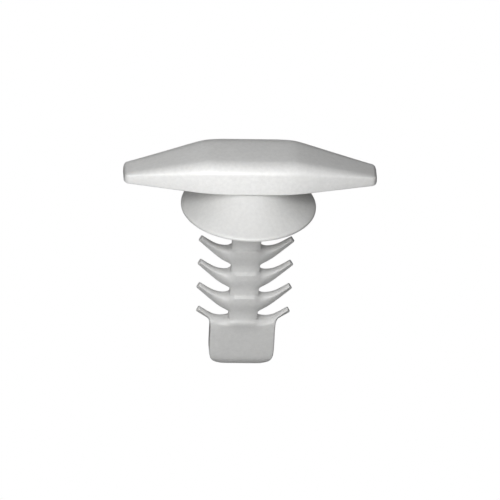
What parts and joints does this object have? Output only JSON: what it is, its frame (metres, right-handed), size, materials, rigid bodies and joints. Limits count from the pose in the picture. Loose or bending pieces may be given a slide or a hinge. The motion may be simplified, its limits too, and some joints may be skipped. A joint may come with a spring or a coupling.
{
  "type": "push-in trim retainer",
  "caption": "Push-in fir-tree retainer: a boat-shaped head over an umbrella skirt, with a stem of sprung upswept barbs and a flat lead-in blade.",
  "frame": {"origin": "on the stem's axis, at the panel face that the skirt's rim seats on", "axes": "+Z along the stem towards the head, +X along the head's length, +Y across the stem's thin way"},
  "size_m": [0.025, 0.0132, 0.0243],
  "materials": {
    "nylon_body": "satin natural nylon",
    "nylon_skirt": "satin natural nylon, thin and slightly clear",
    "nylon_barbs": "satin natural nylon"
  },
  "bodies": {
    "body": {"head": "nylon_body", "neck": "nylon_body", "stem": "nylon_body", "lead_in_blade": "nylon_body", "skirt_web": "nylon_skirt"},
    "skirt_rim": {"skirt_lip": "nylon_skirt"},
    "barb_left_1": {"barb_left_1": "nylon_barbs"},
    "barb_right_1": {"barb_right_1": "nylon_barbs"},
    "barb_left_2": {"barb_left_2": "nylon_barbs"},
    "barb_right_2": {"barb_right_2": "nylon_barbs"},
    "barb_left_3": {"barb_left_3": "nylon_barbs"},
    "barb_right_3": {"barb_right_3": "nylon_barbs"},
    "barb_left_4": {"barb_left_4": "nylon_barbs"},
    "barb_right_4": {"barb_right_4": "nylon_barbs"}
  },
  "joints": [
    {"name": "skirt_press", "type": "slide", "parent": "body", "child": "skirt_rim", "axis": [0, 0, 1], "range_m": [0, 0.001], "stiffness_N_per_m": 2000, "deforming": ["skirt_web"]},
    {"name": "left_barb_1_flex", "type": "hinge", "parent": "body", "child": "barb_left_1", "pos_m": [-0.0019, 0, -0.0055], "axis": [0, 1, 0], "range_deg": [-8, 20], "stiffness_Nm_per_rad": 0.02},
    {"name": "right_barb_1_flex", "type": "hinge", "parent": "body", "child": "barb_right_1", "pos_m": [0.0019, 0, -0.0055], "axis": [0, -1, 0], "range_deg": [-8, 20], "stiffness_Nm_per_rad": 0.02},
    {"name": "left_barb_2_flex", "type": "hinge", "parent": "body", "child": "barb_left_2", "pos_m": [-0.0019, 0, -0.00823], "axis": [0, 1, 0], "range_deg": [-8, 20], "stiffness_Nm_per_rad": 0.02},
    {"name": "right_barb_2_flex", "type": "hinge", "parent": "body", "child": "barb_right_2", "pos_m": [0.0019, 0, -0.00823], "axis": [0, -1, 0], "range_deg": [-8, 20], "stiffness_Nm_per_rad": 0.02},
    {"name": "left_barb_3_flex", "type": "hinge", "parent": "body", "child": "barb_left_3", "pos_m": [-0.0019, 0, -0.01096], "axis": [0, 1, 0], "range_deg": [-8, 20], "stiffness_Nm_per_rad": 0.02},
    {"name": "right_barb_3_flex", "type": "hinge", "parent": "body", "child": "barb_right_3", "pos_m": [0.0019, 0, -0.01096], "axis": [0, -1, 0], "range_deg": [-8, 20], "stiffness_Nm_per_rad": 0.02},
    {"name": "left_barb_4_flex", "type": "hinge", "parent": "body", "child": "barb_left_4", "pos_m": [-0.00313, 0, -0.01294], "axis": [0, 1, 0], "range_deg": [-8, 30], "stiffness_Nm_per_rad": 0.01},
    {"name": "right_barb_4_flex", "type": "hinge", "parent": "body", "child": "barb_right_4", "pos_m": [0.00313, 0, -0.01294], "axis": [0, -1, 0], "range_deg": [-8, 30], "stiffness_Nm_per_rad": 0.01}
  ]
}
